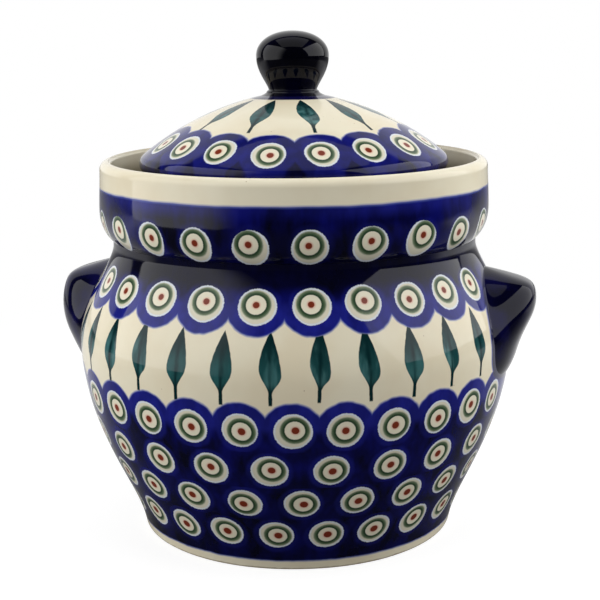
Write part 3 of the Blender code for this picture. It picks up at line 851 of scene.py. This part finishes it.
def paint_eyes(brush, ground, show, motif, along, lift=0.0, shrink=0.0):
    """White discs with green rings and red dots over the ground colour, and where the discs lie."""
    first, second, third = (chance - 0.5 for chance in motif.chances)
    ragged = brush.waver(*EYE_EDGE_FINE) + brush.waver(*EYE_EDGE_BROAD)
    disc_across, disc_along = motif.across + first, along + second
    disc = disc_across.hypot(disc_along) + ragged + third * EYE_GROWTH
    ring_across = disc_across + second * RING_SCATTER_ACROSS
    ring_along = disc_along + third * RING_SCATTER_ALONG - lift
    ring = ring_across.hypot(ring_along) + ragged * 0.35
    dot = (ring_across + first * DOT_SCATTER).hypot(ring_along) + ragged * 0.3 + shrink
    inside = disc.ramp(EYE_RADIUS + 0.2, EYE_RADIUS - 0.2) * show
    painted = brush.blend(ring.ramp(RING_INNER, RING_OUTER), EYE_CREAM, EYE_GREY)
    painted = brush.blend(disc.ramp(EYE_RADIUS - 1.3, EYE_RADIUS - 0.5), painted, EYE_WHITE)
    green = brush.blend(ring.ramp(RING_INNER + 0.5, RING_OUTER + 0.3), RING_DARK, RING_PALE)
    green = brush.blend(brush.clouds(*RING_WET) * 0.35, green, RING_DARK)
    band = ring.ramp(RING_OUTER + 0.55, RING_OUTER - 0.55) * ring.ramp(RING_INNER - 0.2, RING_INNER + 0.2)
    painted = brush.blend(band, painted, green)
    painted = brush.blend(dot.ramp(DOT_HALO + 0.5, DOT_RADIUS) * 0.6, painted, DOT_GLOW)
    painted = brush.blend(dot.ramp(DOT_RADIUS + 0.25, DOT_RADIUS - 0.15), painted, DOT)
    return brush.blend(inside, ground, painted), inside


def paint_leaves(brush, ground, row, measure, clear):
    """Brushed spear leaves over the ground colour, and where they lie."""
    count, first, tip, base, stem_end, half_width, stretch, spread, leafless, seed = row
    motif = Repeat(brush, count, first, seed)
    along = (measure - base) * stretch + (motif.chances[0] - 0.5) * spread
    length, stem = (tip - base) * stretch, (base - stem_end) * stretch
    bow = (motif.chances[2] - 0.5) * LEAF_BOW
    centre = motif.across + bow * (along - length * LEAF_BOW_FROM)
    tilt = (motif.chances[1] * LEAF_TILT - LEAF_TILT_LEFT) / half_width
    share = along / length + centre * tilt
    fall = ((share - LEAF_BROADEST) / (1.0 - LEAF_BROADEST)).at_least(0.0) ** LEAF_TIP_FULLNESS
    rise = ((LEAF_BROADEST - share) / LEAF_BROADEST).at_least(0.0).at_most(1.0) ** LEAF_FOOT_FULLNESS
    stalk = STEM_HALF_WIDTH / half_width
    swell = brush.calc("COSINE", rise * pi) * 0.5 + 0.5
    breadth = half_width * (LEAF_NARROWEST + motif.chances[0] * LEAF_WIDTH_SPREAD)
    wide = fall.invert() * (swell * (1.0 - stalk) + stalk) * breadth
    off = centre.size() + brush.waver(*LEAF_EDGE)
    inside = (off - wide).ramp(0.22, -0.22) * along.ramp(-stem - 0.4, -stem + 0.4)
    inside = inside * clear * motif.off_lug().above(leafless)
    rib = (off / wide.at_least(0.6)).ramp(0.0, 0.42)
    low = share.ramp(0.02, 0.20) * share.ramp(0.85, 0.30)
    strokes = brush.clouds(*LEAF_STROKES)
    wash = (low * (rib * 0.55 + strokes * 0.45) * (0.8 + 0.5 * motif.chances[0])).at_most(1.0)
    colour = brush.blend(wash, LEAF_DARK, LEAF_MIDDLE)
    gleam = wash * strokes * (motif.chances[1] * 1.1 - 0.35).at_least(0.0)
    return brush.blend(inside, ground, brush.blend(gleam, colour, LEAF_LIGHT)), inside


def glaze_relief(brush, painted):
    """Low relief of the painted slip under the glaze, and the glaze's own soft unevenness."""
    return painted * 0.5 + brush.noise(9.0, 1.0) * 0.35 + brush.noise(2.6, 1.0) * 0.05


def glaze_bare_edge(brush, colour, bare, painted):
    """A glazed material with its foot left bare."""
    colour = brush.blend(bare, colour, CLAY)
    return brush.finish(colour, GLAZE_ROUGHNESS + bare * BARE_ROUGHNESS, glaze_relief(brush, painted))


def handle_nearness(brush, size):
    """Millimetres, roughly, from the outline of the nearer handle's root; below 0 is inside it."""
    foot, top, broadest = size.handle_foot / MM, size.handle_top / MM, HANDLE_BROADEST / MM
    from_middle = (brush.turn.size() - 90.0) * brush.radius * radians(1.0)
    across = from_middle.size() / (HANDLE_HALF_WIDTH / MM)
    rise = ((brush.height - broadest) / (top - broadest)).at_least(0.0)
    fall = ((broadest - brush.height) / (broadest - foot)).at_least(0.0)
    upper = (across ** HANDLE_ARCH + rise ** HANDLE_ARCH) ** (1 / HANDLE_ARCH)
    lower = (across ** HANDLE_BASE + fall ** HANDLE_BASE) ** (1 / HANDLE_BASE)
    is_upper = brush.height.above(broadest)
    return (upper * is_upper + lower * is_upper.invert() - 1.0) * LUG_NOMINAL_HALF


def outer_side(brush, size):
    """1 on the outside of the pot's wall and 0 on its inside, read from the radius at each height."""
    node = brush.add("FloatCurve", {"Value": brush.height / (WAIST_HEIGHT / MM)})
    points = node.mapping.curves[0].points
    for i in range(WALL_CURVE_STEPS + 1):
        share = i / WALL_CURVE_STEPS
        place = (share, (size.wall_radius(share * WAIST_HEIGHT) - WALL / 2) / WALL_CURVE_REACH)
        if i in (0, WALL_CURVE_STEPS):
            points[0 if i == 0 else -1].location = place
        else:
            points.new(*place)
    node.mapping.update()
    return brush.radius.above(Field(brush, node.outputs[0]) * (WALL_CURVE_REACH / MM))


def pot_material(size):
    """The pot: blue shoulder and belly with eyes, scallops over a cream band with leaves, cream inside."""
    brush = Brush("pot glaze")
    radius, height = brush.radius, brush.height
    eye, along = eye_places(brush, height, "foot", "low", "middle", "belly", "shoulder")
    lobe = eye.across.hypot(along) + brush.waver(*LOBE_EDGE) - LOBE_RADIUS
    near_handle = handle_nearness(brush, size) - LUG_BORDER
    all_blue = (SHOULDER_BLUE - height).at_most(height - BELLY_BLUE)
    edge = lobe.at_most(all_blue).at_most(near_handle)
    edge = edge.at_least(FOOT_LINE - height + brush.waver(*POT_EDGE) * 0.6)
    low_wall = (LOW_WALL_TOP - height).above(0.0) * radius.above(LOW_WALL_RADIUS)
    outside = (radius.above(WAIST_RADIUS / MM - 1.5) + low_wall).at_most(1.0) * outer_side(brush, size)
    blue = edge.ramp(0.35, -0.35) * outside
    from_eye = lobe + LOBE_RADIUS - EYE_RADIUS
    by_cream = (height - BELLY_BLUE + 4.0).ramp(0.0, 6.0) * (SHOULDER_BLUE - height).ramp(-4.0, 2.0)
    near_eye = from_eye.ramp(3.6, 1.2) * (0.55 + by_cream * 0.45)
    near_eye = near_eye.at_least(from_eye.ramp(7.0, 5.4) * by_cream)
    # painted shade with pooled glaze darkens the cobalt under the collar's crease; it also turns darker
    # towards the foot
    thick = (height.ramp(*WAIST_POOL_AND_SHADE) * 0.85).at_least(height.ramp(*FOOT_DARKENING) * 0.35)
    cobalt = brush.blend(thick, cobalt_glaze(brush, near_eye), COBALT_DEEP)
    cobalt = brush.blend(near_handle.ramp(1.5, -0.6), cobalt, NAVY)
    # painted shade with pooled glaze: the cream darkens down into the channel between neck and collar
    in_channel = radius.above((MOUTH_RADIUS + NECK_WALL / 2) / MM) * outside.invert()
    pooled_and_shaded = height.ramp(size.neck_top / MM - 2.0, size.shelf_top / MM + 8.0)
    pooled_and_shaded = pooled_and_shaded * height.above(POOL_AND_SHADE_ABOVE) * in_channel
    colour = brush.blend(blue, brush.blend(pooled_and_shaded, cream_glaze(brush), CREAM_POOLED_SHADE), cobalt)
    colour = halo(brush, colour, edge, outside, POT_HALO)
    colour, spear = paint_leaves(brush, colour, POT_LEAVES, height, blue.invert() * outside)
    upper = height.above(LEAF_BASE)
    bare_turn = upper * (BARE_BESIDE_LUG - BARE_UNDER_LUG) + height.above(BELLY_ROW_FOOT) * BARE_UNDER_LUG
    show = outside * near_handle.ramp(0.0, 0.6) * eye.off_lug().above(bare_turn)
    shrink = (height - BELLY_BLUE) * 0.004
    colour, disc = paint_eyes(brush, colour, show, eye, along, upper * 0.6, shrink)
    # darker towards the very bottom of the foot, below which it turns bare
    foot_band = (height + brush.waver(*FOOT_BAND_EDGE)).ramp(*FOOT_DARK_BAND)
    colour = brush.blend(foot_band * 0.8, colour, CLAY_DARK)
    painted = blue + spear * 0.6 + disc * 0.4
    return glaze_bare_edge(brush, colour, height.ramp(*BARE_FOOT), painted)


def collar_material(size):
    """The collar: cream rim and inside, blue outside with a row of eyes."""
    brush = Brush("collar glaze")
    radius, height = brush.radius, brush.height
    eye, along = eye_places(brush, height, "collar")
    edge = height - COLLAR_LINE + brush.waver(*COLLAR_EDGE)
    below = (COLLAR_FACE_BELOW - height).above(0.0)
    outside = radius.above(COLLAR_FACE_FROM).at_least(below)
    blue = edge.ramp(0.3, -0.3) * outside
    near_eye = (eye.across.hypot(along) - EYE_RADIUS).ramp(3.4, 0.3)
    wash = brush.calc("COSINE", (brush.turn + COLLAR_WASH_FIRST) * radians(COLLAR_WASHES))
    laden = wash * -0.28 + 0.35
    thin = edge.ramp(-9.0, -1.0) * (0.95 - laden)
    # painted shade with pooled glaze darkens the cobalt down to the collar's toe; the brush's load thickens
    # it round the collar
    thick = (height.ramp(*TOE_POOL_AND_SHADE) * 0.85).at_least(height.ramp(*COLLAR_DEEP) * laden)
    cobalt = brush.blend(thick, cobalt_glaze(brush, (near_eye * 0.35).at_least(thin)), COBALT_DEEP)
    rim_height = size.rim_height / MM
    # painted shade with pooled glaze: the cream darkens down inside the collar
    pooled_and_shaded = height.ramp(rim_height - 3.0, rim_height - 16.0) * outside.invert()
    colour = brush.blend(blue, brush.blend(pooled_and_shaded, cream_glaze(brush), CREAM_POOLED_SHADE), cobalt)
    colour = halo(brush, colour, edge, outside, COLLAR_HALO)
    colour, disc = paint_eyes(brush, colour, outside, eye, along, 1.6, 0.2)
    return brush.finish(colour, GLAZE_ROUGHNESS, glaze_relief(brush, blue + disc * 0.4))


def lid_material(size):
    """The lid: leaves that point at the knob, scallops with eyes round the edge, blue skirt, cream inside."""
    brush = Brush("lid glaze")
    radius, height = brush.radius, brush.height
    doubled = (brush.turn - degrees(VIEW_TURN)) * radians(2.0)
    ring_radius = radius + (1.0 - brush.calc("COSINE", doubled)) * LID_RING_OVAL
    eye, along = eye_places(brush, ring_radius, "lid")
    lobe = eye.across.hypot(along) + brush.waver(*LOBE_EDGE) - LID_LOBE_RADIUS
    edge = lobe.at_most(LID_EYE_RING - ring_radius)
    top = (height - LID_EDGE_HEIGHT / MM).above(-1.0)
    from_middle = (radius + DOME_OFFSET / MM).hypot(height - size.dome_middle / MM)
    show = from_middle.above((DOME_RADIUS - LID_WALL / 2) / MM) * top
    foot = size.skirt_foot / MM
    skirt = (foot + LID_SKIRT_HEIGHT - height).above(0.0) * radius.above(SKIRT_RADIUS / MM - 1.0)
    outside = show.at_least(skirt)
    blue = edge.ramp(0.3, -0.3) * outside
    near_eye = (lobe + LID_LOBE_RADIUS - EYE_RADIUS).ramp(7.4, 5.6) * top * 0.55
    colour = brush.blend(blue, cream_glaze(brush), cobalt_glaze(brush, near_eye))
    colour = halo(brush, colour, edge, outside, POT_HALO)
    colour, spear = paint_leaves(brush, colour, LID_LEAVES, radius, blue.invert() * outside)
    colour, disc = paint_eyes(brush, colour, show, eye, along)
    foot_ring = (size.knob_foot_radius / MM + KNOB_FOOT_LINE - radius).ramp(-0.3, 0.4) * outside
    colour = brush.blend(foot_ring, colour, NAVY)
    painted = blue + spear * 0.6 + disc * 0.4
    return glaze_bare_edge(brush, colour, (height - foot).ramp(*BARE_SKIRT), painted)


def navy_material(name, thick, thin, gloss):
    """Thick navy glaze, nearly black, that thins to blue in faint clouds."""
    brush = Brush(name)
    clouds = brush.clouds(*NAVY_CLOUDS)
    relief = glaze_relief(brush, clouds * 0.1)
    return brush.finish(brush.blend(clouds, thick, thin), NAVY_ROUGHNESS, relief, gloss=gloss)


def clay_material():
    """Unglazed fired clay: sandy, with small dark grains."""
    brush = Brush("bare clay")
    colour = brush.blend(brush.clouds(*CLAY_CLOUDS) * 0.6, CLAY, CLAY_DARK)
    colour = brush.blend(brush.cells(GRAIN_SPACING).ramp(*GRAIN_SIZE) * 0.5, colour, SPECK)
    relief = brush.noise(1.1, 3.0) + brush.noise(8.0, 2.0) * 0.6
    return brush.finish(colour, CLAY_ROUGHNESS, relief, CLAY_RELIEF)


# Scene

def dress(piece, material, body, slot, *nodes):
    piece.data.materials.clear()
    piece.data.materials.append(material)
    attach(piece, body)
    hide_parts(*nodes)


def build_pieces(size):
    navy = navy_material("navy glaze", NAVY_DEEP, NAVY, LUG_GLOSS)
    clay = clay_material()
    dress(turned("pot", pot_outline(size), POT_SIDES), pot_material(size), "crock", "cream_glaze",
          "jar_body", "neck_ring")
    collar = lean_rim(turned("collar", collar_outline(size), POT_SIDES, closed=True), size)
    dress(collar, collar_material(size), "crock", "cobalt_glaze", "channel_collar")
    dress(handle("lug_right", size, 1, LUG_HOLLOW, LUG_SETTLE), navy, "crock", "navy_glaze", "handle_right")
    dress(handle("lug_left", size, -1), navy, "crock", "navy_glaze", "handle_left")
    lid = turned("lid", lid_outline(size), POT_SIDES)
    cut_gas_notches(lid, size)
    dress(lid, lid_material(size), "lid", "cobalt_glaze", "lid_dome")
    knob = turned("knob", knob_outline(size), KNOB_SIDES, sway=HAND_WOBBLE / 2)
    black = navy_material("black glaze", NAVY_BLACK, NAVY_DEEP, KNOB_GLOSS)
    dress(knob, black, "lid", "navy_glaze", "lid_knob")
    dress(weight("stone_right", size, 1), clay, "stone_right", "bare_clay", "weight_right")
    dress(weight("stone_left", size, -1), clay, "stone_left", "bare_clay", "weight_left")


def add_camera():
    """The fitted view down onto the crock, with the photograph's slight roll."""
    spin = Matrix.Rotation
    place = Matrix.Translation((CAMERA_SIDE, -CAMERA_DISTANCE, CAMERA_HEIGHT))
    tilt = spin(pi / 2 - CAMERA_PITCH, 4, "X") @ spin(CAMERA_ROLL, 4, "Z")
    data = bpy.data.cameras.new("camera")
    data.sensor_width = SENSOR_MM
    data.lens = LENS_MM
    camera = linked("camera", data)
    camera.matrix_world = spin(VIEW_TURN, 4, "Z") @ place @ tilt
    bpy.context.scene.camera = camera


def soft_box(name, turn_degrees, elevation_degrees, width, height, radiance, distance_m):
    """A rectangular lamp that faces the crock, placed by its turn from the camera's side."""
    data = bpy.data.lights.new(name, "AREA")
    data.shape = "RECTANGLE"
    data.size = width
    data.size_y = height
    data.energy = radiance * pi * width * height
    lamp = linked(name, data)
    angle = VIEW_TURN - pi / 2 + radians(turn_degrees)
    lift = radians(elevation_degrees)
    away = polar(cos(lift), angle, sin(lift))
    lamp.location = Vector((0.0, 0.0, LAMP_AIM_HEIGHT)) + away * distance_m
    lamp.rotation_euler = away.to_track_quat("Z", "Y").to_euler()
    lamp.visible_camera = False
    return lamp


def fade_across(lamp, full_share, faint):
    """Dims a soft box along its width, from full_share of it to the edge nearest the camera."""
    lamp.data.use_nodes = True
    wiring = Wiring(lamp.data.node_tree)
    place = wiring.add("NewGeometry").outputs["Parametric"]
    across = wiring.add("SeparateXYZ", {0: place}).outputs["X"]
    inputs = {"Value": across, "From Min": full_share, "To Min": 1.0, "To Max": faint}
    fade = wiring.add("MapRange", inputs, interpolation_type="SMOOTHSTEP")
    wiring.feed(wiring.tree.nodes["Emission"].inputs["Strength"], fade.outputs["Result"])


def add_world():
    """A white backdrop round the back of a dark studio; the camera itself sees white all round."""
    world = bpy.data.worlds.new("studio")
    bpy.context.scene.world = world
    world.use_nodes = True
    wiring = Wiring(world.node_tree)
    heading = VIEW_TURN + BACKDROP_TURN
    axis = (-sin(heading), cos(heading), 0.0)
    place = wiring.add("TexCoord").outputs["Generated"]
    along = wiring.add("VectorMath", {0: place, 1: axis}, operation="DOT_PRODUCT").outputs["Value"]
    behind = wiring.add("MapRange", {
        "Value": along,
        "From Min": cos(BACKDROP_HALF_ANGLE + BACKDROP_SOFTNESS),
        "From Max": cos(BACKDROP_HALF_ANGLE - BACKDROP_SOFTNESS),
        "To Min": DARK_STUDIO,
    }).outputs["Result"]
    seen = wiring.add("LightPath").outputs["Is Camera Ray"]
    strength = wiring.add("Math", {0: seen, 1: behind}, operation="MAXIMUM").outputs[0]
    background = wiring.tree.nodes["Background"]
    wiring.feed(background.inputs["Color"], WHITE)
    wiring.feed(background.inputs["Strength"], strength)


def add_floor():
    """A pale floor with the crock's shadow that runs out to white; the glaze shows it dark in front."""
    work = bmesh.new()
    bmesh.ops.create_circle(work, cap_ends=True, segments=FLOOR_SIDES, radius=FLOOR_RADIUS)
    floor = linked_mesh("floor", work)
    brush = Brush("floor")
    brush.tree.nodes.remove(brush.shader)
    path = brush.add("LightPath").outputs
    camera_ray = Field(brush, path["Is Camera Ray"])
    behind = (brush.y * cos(VIEW_TURN) - brush.x * sin(VIEW_TURN)) * PER_METRE
    mirrored = brush.blend(behind.ramp(*FLOOR_LIT), FLOOR_FAR, FLOOR_IN_GLAZE)
    matt = brush.add("BsdfDiffuse", {"Color": brush.blend(path["Is Glossy Ray"], FLOOR_COLOUR, mirrored)})
    glow = brush.add("Emission", {"Strength": camera_ray * FLOOR_LIFT})
    both = brush.add("AddShader", {0: matt.outputs[0], 1: glow.outputs[0]})
    share = camera_ray * brush.radius.ramp(*FLOOR_FADE)
    fade = brush.add("MixShader", {0: share, 1: both.outputs[0], 2: brush.add("Emission").outputs[0]})
    brush.feed(brush.tree.nodes["Material Output"].inputs["Surface"], fade.outputs[0])
    floor.data.materials.append(brush.material)


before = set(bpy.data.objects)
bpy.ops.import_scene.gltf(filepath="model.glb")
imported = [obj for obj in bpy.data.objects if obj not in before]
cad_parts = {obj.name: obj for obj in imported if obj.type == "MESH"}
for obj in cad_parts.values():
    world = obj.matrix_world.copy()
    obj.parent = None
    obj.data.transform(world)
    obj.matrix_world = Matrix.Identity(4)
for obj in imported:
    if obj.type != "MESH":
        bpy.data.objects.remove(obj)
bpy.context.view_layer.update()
size = Sizes()
build_pieces(size)
add_camera()
add_world()
add_floor()
lamps = {name: soft_box(name, *setting) for name, setting in SOFT_BOXES.items()}
fade_across(lamps["left box"], FADE_FROM, FADE_TO)
bpy.context.scene.view_settings.view_transform = "Standard"
